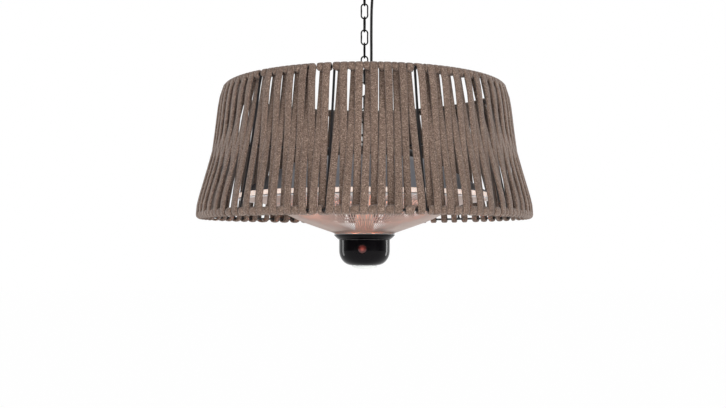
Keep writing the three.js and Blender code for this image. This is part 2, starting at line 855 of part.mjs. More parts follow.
// A domed window, held by its lead-in from inside the housing wall
function receiverWindow() {
  const radius = windowDiameter / 2;
  const face = Math.sqrt((housingDiameter / 2) ** 2 - windowOffset ** 2);
  const inner = Math.sqrt((housingDiameter / 2 - housingWall) ** 2 - (radius + Math.abs(windowOffset)) ** 2);
  const start = inner - seatGap - windowFlange;
  return turned([
    [0, start],
    [radius, start],
    ...windowDomeShares.map(([reach, rise]) => [radius * reach, face + windowDome * rise]),
  ], mediumSides).rotateX(Math.PI / 2).translate(windowOffset, 0, housingTopZ - windowDrop - radius);
}

function bottomDiffuser() {
  const radius = housingFootDiameter / 2 - housingWall - seatGap;
  const outer = housingFootDiameter / 2 - seatGap;
  const bottom = housingTopZ - housingHeight;
  const rim = bottom - seatGap;
  return turned([
    [0, bottom + housingWall + diffuserFlange],
    [radius, bottom + housingWall + diffuserFlange],
    [radius, rim],
    ...diffuserShares.map(([reach, fall]) => [outer * reach, rim - diffuserHeight * fall]),
  ], mediumSides);
}

// The put-away length of the lead: it spirals in and out again, climbing a layer at each reversal
function coilPoint(turns) {
  const swing = 2 * turnsEachLayer;
  const phase = ((turns % swing) + swing) % swing;
  const wave = turns > coilLayers * turnsEachLayer
    ? coilLayers * turnsEachLayer - turns
    : Math.min(phase, swing - phase);
  const radius = coilOuterTurn - coilPitch * wave;
  let layer = 0;
  for (let climb = 1; climb < coilLayers; climb += 1) {
    const middle = climb * turnsEachLayer;
    layer += THREE.MathUtils.smoothstep(turns, middle - climbTurns / 2, middle + climbTurns / 2);
  }
  const angle = Math.PI - 2 * Math.PI * turns;
  return new THREE.Vector3(
    coilCentreX + radius * Math.cos(angle),
    -coilPitch * layer,
    coilCentreZ + radius * Math.sin(angle),
  );
}

function cableCoil() {
  const steps = Math.round(coilTurns * coilStepsEachTurn);
  const points = [];
  for (let i = 0; i <= steps; i += 1) {
    points.push(coilPoint((coilTurns * i) / steps));
  }
  const first = points[0];
  const last = points[points.length - 1];
  const leaving = last.clone().sub(points[points.length - 2]).normalize();
  points.unshift(new THREE.Vector3(first.x, first.y, first.z - leadDiameter));
  points.push(last.clone().addScaledVector(leaving, leadDiameter));
  const directions = points.map(() => alongY);
  reportGap('cable coil', points, directions, leadDiameter, leadDiameter, Math.round(coilStepsEachTurn / 2));
  return sweep(points, directions, polygon(leadDiameter / 2, wireSides), false);
}

// A moulded plug with two round pins, along +Z from where the lead enters it
function plugAtOrigin() {
  const bodyTop = plugBootLength + plugBodyLength;
  const body = turned([
    [0, 0],
    [plugBootTip / 2, 0],
    [plugBootRoot / 2, plugBootLength],
    ...plugBodyShares.map(([reach, rise]) => [
      (plugBodyDiameter / 2) * reach,
      plugBootLength + plugBodyLength * rise,
    ]),
  ], mediumSides);
  const pinZ = bodyTop + pinLength / 2 - seatGap;
  const pins = [1, -1].map((side) => {
    const pin = rod(pinDiameter, pinLength);
    return pin.translate((side * pinSpacing) / 2, 0, pinZ);
  });
  return joined([body, ...pins]);
}

function plug() {
  const end = coilPoint(coilTurns);
  const before = coilPoint(coilTurns - 1 / coilStepsEachTurn);
  const leaving = end.clone().sub(before).normalize();
  const turn = new THREE.Quaternion().setFromUnitVectors(alongZ, leaving);
  const place = end.clone().addScaledVector(leaving, leadDiameter + seatGap);
  return plugAtOrigin().applyQuaternion(turn).translate(place.x, place.y, place.z);
}

// A flat strap through the second link, round the link's leg and the side of the coil
function cableTie() {
  const tieZ = highestLinkZ - linkPitch;
  const legX = linkInnerWidth / 2;
  const left = legX - seatGap;
  const clearRadius = coilOuterTurn - turnsEachLayer * coilPitch - leadDiameter / 2 - seatGap;
  const drop = coilCentreZ - tieZ + tieWidth / 2;
  const right = coilCentreX - Math.sqrt(clearRadius ** 2 - drop ** 2);
  const near = -coilPitch * (coilLayers - 1) - leadDiameter / 2 - seatGap;
  const far = leadDiameter / 2 + seatGap;
  const frame = (grow) => [
    [right + grow, far + grow], [left - grow, far + grow],
    [left - grow, near - grow], [right + grow, near - grow],
  ];
  return plate(frame(tieThickness), tieZ - tieWidth / 2, tieWidth, [frame(0)]);
}

add('s_hook', sHook(), 'zinc');
for (let i = 0; i < linkCount; i += 1) {
  const link = add(`chain_link_${String(i + 1).padStart(2, '0')}`, chainLink(), 'blackSteel');
  link.position.z = highestLinkZ - i * linkPitch;
  link.rotation.z = i % 2 ? 0 : Math.PI / 2;
}

add('eye_bolt', eyeBolt(), 'blackSteel');
add('upper_nut', nut(upperNutZ), 'zinc');
add('lower_nut', nut(columnTopZ - columnWall - seatGap - nutHeight), 'zinc');
add('shade_spider', shadeSpider(), 'blackSteel');
add('shade_frame', shadeFrame(), 'blackSteel');
for (let bay = 0; bay < wallRodCount; bay += 1) {
  add(`rope_bay_${String(bay + 1).padStart(2, '0')}`, ropeBay(bay), 'rope');
}

add('top_cover', topCover(), 'blackPlastic');
add('reflector', reflector(), 'aluminium');
add('lamp_carrier', lampCarrier(), 'zinc');
for (let lamp = 0; lamp < lampCount; lamp += 1) {
  add(`halogen_tube_${lamp + 1}`, halogenTube(lamp), 'quartz');
}
add('centre_column', centreColumn(), 'aluminium');
add('wire_guard', wireGuard(), 'chrome');
add('guard_hub_ring', hubRing(), 'chrome');
add('housing_collar', housingCollar(), 'blackPlastic');
add('housing_shell', housingShell(), 'blackPlastic');
add('control_board', controlBoard(), 'board');
add('receiver_window', receiverWindow(), 'redLens');
add('bottom_diffuser', bottomDiffuser(), 'opal');

add('cable_gland', cableGland(), 'rubber');
add('power_cable', tube(leadRoute, leadDiameter, routeSteps, routeSides), 'rubber');
add('cable_coil', cableCoil(), 'rubber');
add('plug', plug(), 'rubber');
add('cable_tie', cableTie(), 'blackPlastic');

export default heater;
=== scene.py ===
"""Looks for a hanging patio heater: a rope shade on a chain, with a spun reflector, a wire guard and a
black control housing. The heater's lengths are typed in millimetres, and its heights count from the
shade's lowest point, as in the part's source. up() and spot() turn them into metres below the hook.
Camera, floor, lights and the depth of bumps are in metres."""
import math
import random

import bmesh
import bpy
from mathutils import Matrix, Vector


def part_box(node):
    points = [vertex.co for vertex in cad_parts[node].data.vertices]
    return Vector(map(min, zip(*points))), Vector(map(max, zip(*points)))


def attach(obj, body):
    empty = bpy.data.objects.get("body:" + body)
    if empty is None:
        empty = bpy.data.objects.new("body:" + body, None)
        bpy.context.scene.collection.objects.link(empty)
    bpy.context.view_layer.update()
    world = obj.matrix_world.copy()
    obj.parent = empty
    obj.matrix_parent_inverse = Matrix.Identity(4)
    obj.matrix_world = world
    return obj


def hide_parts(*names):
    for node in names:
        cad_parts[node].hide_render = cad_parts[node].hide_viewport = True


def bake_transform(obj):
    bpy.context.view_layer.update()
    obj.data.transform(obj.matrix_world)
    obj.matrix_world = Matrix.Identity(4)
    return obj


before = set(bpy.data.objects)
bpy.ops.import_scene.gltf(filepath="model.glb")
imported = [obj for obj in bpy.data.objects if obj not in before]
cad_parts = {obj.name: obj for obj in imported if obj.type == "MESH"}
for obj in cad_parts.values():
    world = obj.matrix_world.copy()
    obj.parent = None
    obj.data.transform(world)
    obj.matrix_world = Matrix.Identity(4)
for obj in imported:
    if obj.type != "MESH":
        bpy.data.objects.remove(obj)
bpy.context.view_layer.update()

TAU = 2 * math.pi
HANG = 523.3  # height of the frame's origin, where the hook bears
BACK, UP = Vector((0, 1, 0)), Vector((0, 0, 1))


def up(height):
    return (height - HANG) / 1000


def spot(x, y, height):
    return Vector((x / 1000, y / 1000, up(height)))


def around(radius, angle, height):
    """A place on a circle about the axis; the angle is counted from the front towards +X, in degrees."""
    turn = math.radians(angle)
    return spot(radius * math.sin(turn), -radius * math.cos(turn), height)


def tangent(angle):
    turn = math.radians(angle)
    return Vector((math.cos(turn), math.sin(turn), 0))


# Camera

CAMERA_PLACE = (-0.0027, -1.571, up(-42))
LENS, SENSOR = 42.96, 36
FRAME_RISE = 0.0533  # shift that the photograph's framing needs

camera_data = bpy.data.cameras.new("camera")
camera_data.lens = LENS
camera_data.sensor_width = SENSOR
camera_data.shift_y = FRAME_RISE
camera_data.clip_start = 0.05
camera_data.clip_end = 60
camera = bpy.data.objects.new("camera", camera_data)
camera.location = CAMERA_PLACE
camera.rotation_euler = (math.pi / 2, 0, 0)
bpy.context.scene.collection.objects.link(camera)
bpy.context.scene.camera = camera


# Mesh helpers

MERGE = 1e-6  # points nearer than this are one point


def new_mesh(name, points, faces, material, uvs=None, smooth=True):
    mesh = bpy.data.meshes.new(name)
    mesh.from_pydata([tuple(p) for p in points], [], faces)
    if uvs is not None:
        layer = mesh.uv_layers.new(name="along")
        flat = [c for face in uvs for corner in face for c in corner]
        layer.data.foreach_set("uv", flat)
    mesh.polygons.foreach_set("use_smooth", [smooth] * len(mesh.polygons))
    mesh.validate()
    mesh.update()
    made = bpy.data.objects.new(name, mesh)
    bpy.context.scene.collection.objects.link(made)
    mesh.materials.append(material)
    return made


def smooth_by_angle(made, degrees=35):
    """Keeps edges sharper than the angle crisp."""
    made.data.set_sharp_from_angle(angle=math.radians(degrees))
    return made


def merge_points(made):
    work = bmesh.new()
    work.from_mesh(made.data)
    bmesh.ops.remove_doubles(work, verts=work.verts, dist=MERGE)
    bmesh.ops.dissolve_degenerate(work, edges=work.edges, dist=MERGE)
    bmesh.ops.recalc_face_normals(work, faces=work.faces)
    work.to_mesh(made.data)
    work.free()
    made.data.polygons.foreach_set("use_smooth", [True] * len(made.data.polygons))
    made.data.update()


def turned(name, profile, material, sides, place):
    """Turns a closed profile of (radius, height) pairs. place(radius, turn, height) gives each point, and
    turn is in radians."""
    points, faces, count = [], [], len(profile)
    for i in range(sides):
        points += [place(radius, TAU * i / sides, height) for radius, height in profile]
        near, far = i * count, ((i + 1) % sides) * count
        for k in range(count):
            n = (k + 1) % count
            faces.append((near + k, far + k, far + n, near + n))
    made = new_mesh(name, points, faces, material)
    merge_points(made)
    return smooth_by_angle(made)


def lathe(name, profile, material, sides=128, x=0.0):
    """Turns a profile about an upright axis, x to the right of the middle."""
    def place(radius, turn, height):
        return spot(x + radius * math.sin(turn), -radius * math.cos(turn), height)
    return turned(name, profile, material, sides, place)


class Skin:
    """Points and faces gathered from several sweeps, to make one mesh. Its map gives, in millimetres,
    the place round the section and the place along the sweep."""

    def __init__(self):
        self.points = []
        self.faces = []
        self.uvs = []

    def sweep(self, points, sides, sections, closed=False):
        """Carries a section (pairs in millimetres) along points. sides[i] is the section's first axis."""
        count = len(sections[0])
        total = len(points)
        base = len(self.points)
        along = 0.0
        lengths = []
        for i, point in enumerate(points):
            before = points[(i - 1) % total] if closed else points[max(i - 1, 0)]
            after = points[(i + 1) % total] if closed else points[min(i + 1, total - 1)]
            ahead = ((point - before).normalized() + (after - point).normalized()).normalized()
            rise = ahead.cross(sides[i]).normalized()
            if i:
                along += (point - points[i - 1]).length * 1000
            lengths.append(along)
            self.points += [point + sides[i] * (s / 1000) + rise * (u / 1000) for s, u in sections[i]]
        lengths.append(along + (points[0] - points[-1]).length * 1000)
        rim = [0.0]
        for k in range(count):
            rim.append(rim[-1] + math.dist(sections[0][k], sections[0][(k + 1) % count]))
        for i in range(total if closed else total - 1):
            near, far = base + i * count, base + ((i + 1) % total) * count
            v0, v1 = lengths[i], lengths[i + 1]
            for k in range(count):
                n = (k + 1) % count
                self.faces.append((near + k, near + n, far + n, far + k))
                self.uvs.append(((rim[k], v0), (rim[k + 1], v0), (rim[k + 1], v1), (rim[k], v1)))
        if not closed:
            last = base + (total - 1) * count
            self.faces.append(tuple(base + k for k in reversed(range(count))))
            self.uvs.append(((0.0, 0.0),) * count)
            self.faces.append(tuple(last + k for k in range(count)))
            self.uvs.append(((0.0, lengths[total - 1]),) * count)

    def even(self, points, side, section, closed=False):
        """A sweep whose section and first axis stay the same."""
        self.sweep(points, [side] * len(points), [section] * len(points), closed)

    def stepped(self, points, side, diameters, sides, closed=False):
        """A round sweep with a diameter at each point."""
        self.sweep(points, [side] * len(points), [round_section(d, sides) for d in diameters], closed)

    def hoop(self, radius, height, wire, steps):
        """A level ring of wire about the axis."""
        path = [around(radius, 360 * k / steps, height) for k in range(steps)]
        self.even(path, UP, round_section(wire, 10), closed=True)

    def make(self, name, material):
        return new_mesh(name, self.points, self.faces, material, self.uvs)


def round_section(diameter, sides):
    radius = diameter / 2
    return [(radius * math.cos(TAU * k / sides), radius * math.sin(TAU * k / sides)) for k in range(sides)]


def flat_section(width, thickness, crown=0.25):
    """A flat rope's outline: rounded edges, and faces a little fuller in the middle."""
    reach, half = width / 2, thickness / 2
    straight = reach - half
    outline = []
    for end in (1, -1):
        for step in range(5):
            turn = math.pi * (step / 4 - 0.5)
            outline.append((end * (straight + half * math.cos(turn)), end * half * math.sin(turn)))
        for share in (0.5, 0.0, -0.5):
            outline.append((end * straight * share, end * (half + crown * (1 - share * share))))
    return outline


def curve_through(knots, samples):
    """Points on a smooth curve through the knots, evenly spread in the curve's own measure."""
    knots = [Vector(k) for k in knots]
    ends = [knots[0] * 2 - knots[1]] + knots + [knots[-1] * 2 - knots[-2]]
    made = []
    spans = len(knots) - 1
    for i in range(samples + 1):
        place = spans * i / samples
        span = min(int(place), spans - 1)
        t = place - span
        a, b, c, d = ends[span:span + 4]
        made.append(0.5 * ((2 * b) + (c - a) * t + (2 * a - 5 * b + 4 * c - d) * t * t
                           + (3 * b - a - 3 * c + d) * t * t * t))
    return made


def profile_through(knots, samples):
    """The same for a profile of (radius, height) pairs."""
    return [(p.x, p.z) for p in curve_through([(radius, 0, height) for radius, height in knots], samples)]


def arc_profile(centre, reach, start, end, steps):
    """(radius, height) pairs round an arc. reach is its half width and half height, and the angles are
    in degrees, from outward towards up."""
    turns = [math.radians(start + (end - start) * k / steps) for k in range(steps + 1)]
    return [(centre[0] + reach[0] * math.cos(t), centre[1] + reach[1] * math.sin(t)) for t in turns]


def upright_arc(radius, height, start, end, steps):
    """Points on an arc in the hook's plane."""
    return [spot(x, 0, z) for x, z in arc_profile((0, height), (radius, radius), start, end, steps)]


def smooth_step(x, low, high):
    t = min(1.0, max(0.0, (x - low) / (high - low)))
    return t * t * (3 - 2 * t)


def put(made, body, slot, *nodes):
    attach(made, body)
    if nodes:
        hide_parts(*nodes)
    return made


# Materials

def colour(red, green, blue):
    """A screen colour, 0 to 255, as the linear colour that a shader takes."""
    def linear(value):
        value /= 255
        return value / 12.92 if value <= 0.04045 else ((value + 0.055) / 1.055) ** 2.4
    return (linear(red), linear(green), linear(blue), 1)


class Paint:
    """One material and short ways to add its nodes."""

    def __init__(self, name):
        self.material = bpy.data.materials.new(name)
        self.material.use_nodes = True
        self.tree = self.material.node_tree
        self.shader = self.tree.nodes["Principled BSDF"]
        self.out = self.tree.nodes["Material Output"]

    def node(self, kind, **sockets):
        made = self.tree.nodes.new(kind)
        for key, value in sockets.items():
            if hasattr(made, key):
                setattr(made, key, value)
            else:
                made.inputs[key.replace("_", " ")].default_value = value
        return made

    def give(self, socket, value):
        """Sets a constant on the socket itself, or links what another node makes."""
        if isinstance(value, (int, float, tuple)):
            socket.default_value = value
        else:
            self.tree.links.new(value, socket)

    def set(self, **sockets):
        for key, value in sockets.items():
            self.give(self.shader.inputs[key.replace("_", " ")], value)

    def maths(self, operation, a, b=None, clamp=False):
        made = self.node("ShaderNodeMath", operation=operation, use_clamp=clamp)
        self.give(made.inputs[0], a)
        if b is not None:
            self.give(made.inputs[1], b)
        return made.outputs[0]

    def vector_maths(self, operation, a, b=None):
        made = self.node("ShaderNodeVectorMath", operation=operation)
        self.give(made.inputs[0], a)
        if b is not None:
            self.give(made.inputs[1], b)
        return made.outputs

    def wave(self, value):
        """Ridges one unit apart."""
        return self.maths("ABSOLUTE", self.maths("SINE", self.maths("MULTIPLY", value, math.pi)))

    def place(self):
        return self.node("ShaderNodeTexCoord").outputs["Object"]

    def normal(self):
        return self.node("ShaderNodeTexCoord").outputs["Normal"]

    def axes(self, vector):
        made = self.node("ShaderNodeSeparateXYZ")
        self.give(made.inputs[0], vector)
        return made.outputs

    def noise(self, scale, detail=2.0, rough=0.5, vector=None):
        made = self.node("ShaderNodeTexNoise", Scale=scale, Detail=detail, Roughness=rough)
        self.give(made.inputs["Vector"], vector if vector is not None else self.place())
        return made.outputs["Fac"]

    def ramp(self, value, *stops):
        made = self.node("ShaderNodeValToRGB")
        points = made.color_ramp.elements
        while len(points) < len(stops):
            points.new(0.5)
        for point, (place, tone) in zip(points, stops):
            point.position = place
            point.color = tone
        self.give(made.inputs["Fac"], value)
        return made.outputs["Color"]

    def mix(self, factor, a, b, kind="MIX"):
        made = self.node("ShaderNodeMix", data_type="RGBA", blend_type=kind)
        for socket, value in ((made.inputs[0], factor), (made.inputs[6], a), (made.inputs[7], b)):
            self.give(socket, value)
        return made.outputs[2]

    def dimmed(self, tone, level, share=1.0):
        """The tone times a grey of that level."""
        grey = self.node("ShaderNodeCombineXYZ")
        for socket in grey.inputs:
            self.give(socket, level)
        return self.mix(share, tone, grey.outputs[0], "MULTIPLY")

    def map_range(self, value, low, high, to_low, to_high):
        made = self.node("ShaderNodeMapRange", From_Min=low, From_Max=high, To_Min=to_low, To_Max=to_high)
        self.give(made.inputs["Value"], value)
        return made.outputs["Result"]

    def bump(self, height, distance, strength):
        made = self.node("ShaderNodeBump", Distance=distance, Strength=strength)
        self.give(made.inputs["Height"], height)
        return made.outputs["Normal"]


ROPE_WIDTH = 12.5
ROPE_THICKNESS = 3.9
ROPE_TURN = 2 * (ROPE_WIDTH - ROPE_THICKNESS) + math.pi * ROPE_THICKNESS  # the way round its section
YARN_ALONG, YARN_ACROSS = 2.3, 2.7  # spacing of the slanted yarns
WEAVE_ALONG, WEAVE_ACROSS = 4.6, 2.9
PAINTED_INSIDE_SHADE = 0.6  # how much painted shade darkens the lampshade's inside, above its foot
LENS_X, LENS_HEIGHT, LENS_OUT = -4, -53, 47.5


def rope_paint():
    """Heathered flat braid: yarns slant up from both edges to a seam along the middle."""
    p = Paint("rope")
    uv = p.axes(p.node("ShaderNodeUVMap", uv_map="along").outputs["UV"])
    across, along = uv["X"], uv["Y"]
    half = p.maths("PINGPONG", across, ROPE_TURN / 2)
    lean = p.maths("ABSOLUTE", p.maths("SUBTRACT", half, ROPE_TURN / 4))
    ridge = p.wave(p.maths("ADD", p.maths("MULTIPLY", along, 1 / YARN_ALONG),
                           p.maths("MULTIPLY", lean, 1 / YARN_ACROSS)))
    weave = p.wave(p.maths("SUBTRACT", p.maths("MULTIPLY", along, 1 / WEAVE_ALONG),
                           p.maths("MULTIPLY", across, 1 / WEAVE_ACROSS)))
    fibre = p.noise(1900, 3, 0.65)
    speck = p.noise(600, 2, 0.6)
    patch = p.noise(160, 2, 0.5)
    height = p.maths("ADD", p.maths("MULTIPLY", ridge, 0.62), p.maths("MULTIPLY", weave, 0.22))
    height = p.maths("ADD", height, p.maths("MULTIPLY", fibre, 0.45))
    tone = p.ramp(speck, (0.28, colour(44, 33, 28)), (0.45, colour(98, 79, 68)),
                  (0.56, colour(129, 108, 96)), (0.74, colour(190, 170, 155)))
    worn = p.ramp(patch, (0.3, colour(108, 89, 77)), (0.7, colour(129, 110, 98)))
    tone = p.mix(0.25, tone, worn)
    tint = p.node("ShaderNodeAttribute", attribute_name="tint").outputs["Fac"]
    tone = p.dimmed(tone, p.map_range(tint, 0, 1, 0.88, 1.1))
    # Painted shade: darker between the yarn ridges, in the grooves of the braid
    tone = p.dimmed(tone, p.map_range(ridge, 0.0, 0.35, 0.78, 1.0), 0.8)
    # Painted shade: faces turned in towards the axis are darkened, more so above the foot, as if in the shade
    # inside the lampshade
    outward = p.vector_maths("NORMALIZE", p.vector_maths("MULTIPLY", p.place(), (1, 1, 0))[0])[0]
    facing = p.vector_maths("DOT_PRODUCT", outward, p.normal())["Value"]
    inner = p.map_range(facing, -0.7, -0.1, 1.0, 0.0)
    deep = p.map_range(p.axes(p.place())["Z"], up(8), up(40), 0.15, 1.0)
    painted_shade = p.maths("MULTIPLY", p.maths("MULTIPLY", inner, deep), PAINTED_INSIDE_SHADE)
    tone = p.mix(painted_shade, tone, colour(26, 20, 18))
    p.set(Base_Color=tone, Roughness=0.93, Normal=p.bump(height, 0.0006, 0.7), Sheen_Weight=0.25,
          Sheen_Roughness=0.5, Specular_IOR_Level=0.2)
    return p.material


def metal_paint(name, tone, rough, spread=0.08, grain=600, brushed=None, metallic=1.0, painted_shade_up=None):
    """Bare or plated metal with a slightly uneven polish. brushed stretches the grain along an axis, and the
    last argument, when given, is a tone painted on what faces up: painted shade."""
    p = Paint(name)
    vector = p.place()
    if brushed:
        scaled = p.node("ShaderNodeMapping", Scale=brushed)
        p.give(scaled.inputs["Vector"], vector)
        vector = scaled.outputs[0]
    fine = p.noise(grain, 3, 0.6, vector)
    cloud = p.noise(35, 3, 0.55)
    mixed = p.maths("ADD", p.maths("MULTIPLY", fine, 0.6), p.maths("MULTIPLY", cloud, 0.4))
    darker = tuple(c * 0.86 for c in tone[:3]) + (1,)
    shown = p.mix(mixed, darker, tone)
    # Painted shade: a tone laid on the faces turned up
    if painted_shade_up:
        shown = p.mix(p.map_range(p.axes(p.normal())["Z"], 0.1, 0.4, 0.0, 1.0), shown, painted_shade_up)
    p.set(Base_Color=shown, Metallic=metallic,
          Roughness=p.map_range(mixed, 0.25, 0.75, rough - spread, rough + spread),
          Normal=p.bump(fine, 0.00004, 0.5))
    return p.material


def coated_paint(name, tone, rough, spread=0.06, pebble=900, depth=0.00006, specular=0.5):
    """Paint, rubber or moulded plastic: fine pebble, faint dust and an uneven sheen."""
    p = Paint(name)
    fine = p.noise(pebble, 2, 0.5)
    cloud = p.noise(28, 4, 0.6)
    lighter = tuple(min(1, c * 1.5 + 0.002) for c in tone[:3]) + (1,)
    dust = p.maths("MULTIPLY", p.maths("SUBTRACT", cloud, 0.45, clamp=True), 1.2)
    p.set(Base_Color=p.mix(dust, tone, lighter),
          Roughness=p.map_range(cloud, 0.3, 0.7, rough - spread, rough + spread),
          Normal=p.bump(fine, depth, 0.4), Specular_IOR_Level=specular)
    return p.material


def clear_paint(p, tone, rough, spread, transmission, ior):
    """Glass or clear plastic with a faint haze."""
    p.set(Base_Color=tone, Roughness=p.map_range(p.noise(60, 3, 0.5), 0.3, 0.7, rough, rough + spread),
          Normal=p.bump(p.noise(300, 2, 0.5), 0.00003, 0.3), Transmission_Weight=transmission, IOR=ior)
    return p.material


def glass_paint(name, tone, rough, transmission, ior, glow, strength):
    p = Paint(name)
    p.set(Emission_Color=glow, Emission_Strength=strength)
    return clear_paint(p, tone, rough, 0.05, transmission, ior)


def lens_paint():
    """Red moulded lens, paler in the middle with painted light, as if lit from behind."""
    p = Paint("red_glass")
    middle = tuple(spot(LENS_X, -LENS_OUT, LENS_HEIGHT))
    away = p.vector_maths("DISTANCE", p.place(), middle)["Value"]
    tone = p.ramp(p.maths("MULTIPLY", away, 120), (0.12, colour(172, 82, 72)),
                  (0.5, colour(112, 44, 40)), (0.9, colour(46, 17, 17)))
    return clear_paint(p, tone, 0.1, 0.06, 0.1, 1.5)


def glowing_paint(name, tone, glow, strength):
    p = Paint(name)
    p.set(Base_Color=tone, Roughness=0.5, Normal=p.bump(p.noise(500, 2, 0.5), 0.00005, 0.3),
          Emission_Color=glow, Emission_Strength=strength)
    return p.material


rope_look = rope_paint()
chain_steel = metal_paint("chain_steel", colour(32, 31, 31), 0.4, 0.1, 700)
# The reflector's upward faces take a dark tone: painted shade inside the lampshade
aluminium = metal_paint("aluminium", colour(230, 226, 226), 0.42, 0.05, 260, brushed=(1, 1, 26),
                        painted_shade_up=colour(104, 104, 110))
# The guard's pink tint is painted light from the lamps on plated wire
lamplit_guard_steel = metal_paint("lamplit_guard_steel", colour(190, 172, 164), 0.34, 0.06, 800, metallic=0.5)
# The carrier's and column's warm tint is painted light from the lamps on aluminium
lamplit_aluminium = metal_paint("lamplit_aluminium", colour(232, 214, 204), 0.5, 0.08, 420, metallic=0.35)
chrome = metal_paint("chrome", colour(232, 230, 228), 0.08, 0.03, 300)
zinc = metal_paint("zinc", colour(178, 179, 181), 0.34, 0.08, 420)
black_steel = coated_paint("black_steel", colour(34, 33, 34), 0.38, 0.08, 1100, 0.00005)
gloss_black = coated_paint("gloss_black", colour(11, 9, 12), 0.09, 0.03, 500, 0.00001, 0.12)
collar_black = coated_paint("collar_black", colour(10, 9, 11), 0.16, 0.03, 500, 0.00001, 0.06)
cover_black = coated_paint("cover_black", colour(26, 25, 27), 0.36, 0.06, 1300, 0.00004)
cable_rubber = coated_paint("cable_rubber", colour(28, 27, 27), 0.55, 0.06, 1500, 0.00005)
pale_ring_grey = coated_paint("pale_ring_grey", colour(126, 124, 124), 0.3, 0.05, 900, 0.00002)
ceramic = coated_paint("ceramic", colour(226, 221, 210), 0.6, 0.05, 1600, 0.00006)
board_green = coated_paint("board_green", colour(46, 104, 68), 0.45, 0.05, 1200, 0.00004)
quartz_glass = glass_paint("quartz_glass", colour(255, 236, 222), 0.05, 0.9, 1.46, (1.0, 0.6, 0.46, 1), 4.2)
opal_glass = glass_paint("opal_glass", colour(238, 240, 238), 0.35, 0.35, 1.49, (1.0, 1.0, 0.98, 1), 0.1)
red_glass = lens_paint()
# Painted light: a glow on the reflector's band, which is no lamp
band_painted_light = glowing_paint("band_painted_light", colour(250, 226, 214), (1.0, 0.83, 0.74, 1), 0.5)
filament_glow = glowing_paint("filament_glow", colour(255, 140, 80), (1.0, 0.33, 0.13, 1), 12.0)


# Lead: up beside the chain, into its coil and on to the plug

LEAD = 4.8
GLAND_X = 24
COIL_OUTER = 31.5  # radius of the lead's middle line in the outer turns
COIL_PITCH = 5.35
COIL_X = 47.5
COIL_Z = 436.0
COIL_TURNS = 8.375
COIL_LAYERS = 4
LAYER_TURNS = 2
CLIMB = 0.25  # turns, before and after a layer's end, in which the lead climbs to the next one
COIL_STEPS = 300

lead_knots = [
    (GLAND_X, 139.6), (GLAND_X, 144.9), (GLAND_X, 152), (23.4, 164), (21.2, 180), (17.8, 197), (14.8, 214),
    (13, 232), (12.5, 252), (12.4, 278), (12.5, 304), (12.4, 330), (12.5, 354), (12.8, 376), (13.8, 396),
    (15.2, 414), (15.9, 425), (16, 430.9),
]


def coil_point(turns):
    swing = 2 * LAYER_TURNS
    phase = turns % swing
    wave = min(phase, swing - phase)
    if turns > COIL_LAYERS * LAYER_TURNS:
        wave = COIL_LAYERS * LAYER_TURNS - turns
    radius = COIL_OUTER - COIL_PITCH * wave
    layer = sum(smooth_step(turns, climb * LAYER_TURNS - CLIMB, climb * LAYER_TURNS + CLIMB)
                for climb in range(1, COIL_LAYERS))
    angle = math.pi - TAU * turns
    return spot(COIL_X + radius * math.cos(angle), -COIL_PITCH * layer, COIL_Z + radius * math.sin(angle))


stretch = curve_through([spot(x, 0, height) for x, height in lead_knots], 96)
turns_made = [coil_point(COIL_TURNS * i / COIL_STEPS) for i in range(COIL_STEPS + 1)]
leaving = (turns_made[-1] - turns_made[-2]).normalized()
lead_path = stretch + turns_made + [turns_made[-1] + leaving * (LEAD / 1000)]
lead_length = sum((b - a).length for a, b in zip(lead_path, lead_path[1:]))
lead_skin = Skin()
lead_skin.even(lead_path, BACK, round_section(LEAD, 12))
lead = lead_skin.make("mains_lead", cable_rubber)
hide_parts("power_cable", "cable_coil")

# Plug: a ribbed boot, a moulded body and two round pins. Its heights count from just past the lead's end

BOOT_THIN, BOOT_THICK, BOOT_LENGTH = 4.0, 7.0, 24
BOOT_RIBS, BOOT_RIB_PITCH = 6, 3.6
PIN_SHIFT = 9.5
PLUG_GAP = 0.3

plug_turn = UP.rotation_difference(leaving)
plug_place = turns_made[-1] + leaving * ((LEAD + PLUG_GAP) / 1000)


def plug_lathe(name, profile, material, sides=48, shift=0.0):
    def place(radius, turn, height):
        local = Vector((shift + radius * math.cos(turn), radius * math.sin(turn), height)) / 1000
        return plug_place + plug_turn @ local
    return turned(name, profile, material, sides, place)


boot = [(0, 0.2), (3.4, 0.2)]
for rib in range(BOOT_RIBS):
    low = 1.0 + rib * BOOT_RIB_PITCH
    size = BOOT_THIN + (BOOT_THICK - BOOT_THIN) * low / BOOT_LENGTH
    boot += [(size - 0.9, low), (size, low + 0.6), (size, low + 2.2), (size - 0.9, low + 2.8)]
boot += [(BOOT_THICK, BOOT_LENGTH), (0, BOOT_LENGTH)]
plug_profile = [(0, 24), (9.5, 24), (14.8, 26.0), (17.0, 29.2), (18.2, 33.5), (18.5, 38), (18.5, 48.6),
                (18.1, 49.6), (17.2, 50), (0, 50)]
pin = [(0, 49.7), (2.4, 49.7), (2.4, 67.4), (2.1, 68.3), (1.3, 68.8), (0, 68.9)]
sleeve = [(0, 49.8), (2.55, 49.8), (2.55, 58.5), (2.4, 58.9), (0, 58.9)]
plug_boot = plug_lathe("plug_boot", boot, cable_rubber)
plug_body = plug_lathe("plug_body", plug_profile, cable_rubber, 64)
plug_parts = [plug_boot, plug_body]
for number, shift in ((1, PIN_SHIFT), (2, -PIN_SHIFT)):
    plug_parts.append(plug_lathe(f"plug_pin_{number}", pin, zinc, 32, shift))
    plug_parts.append(plug_lathe(f"plug_sleeve_{number}", sleeve, cover_black, 32, shift))
for made in plug_parts:
    put(made, "chain", "rubber")
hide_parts("plug")

# Tie: a strap round the link's leg and the side of the coil

STRAP_WIDTH, STRAP_THICKNESS = 4.0, 1.1
STRAP_CORNER = 0.0014  # in metres, like the tie's box

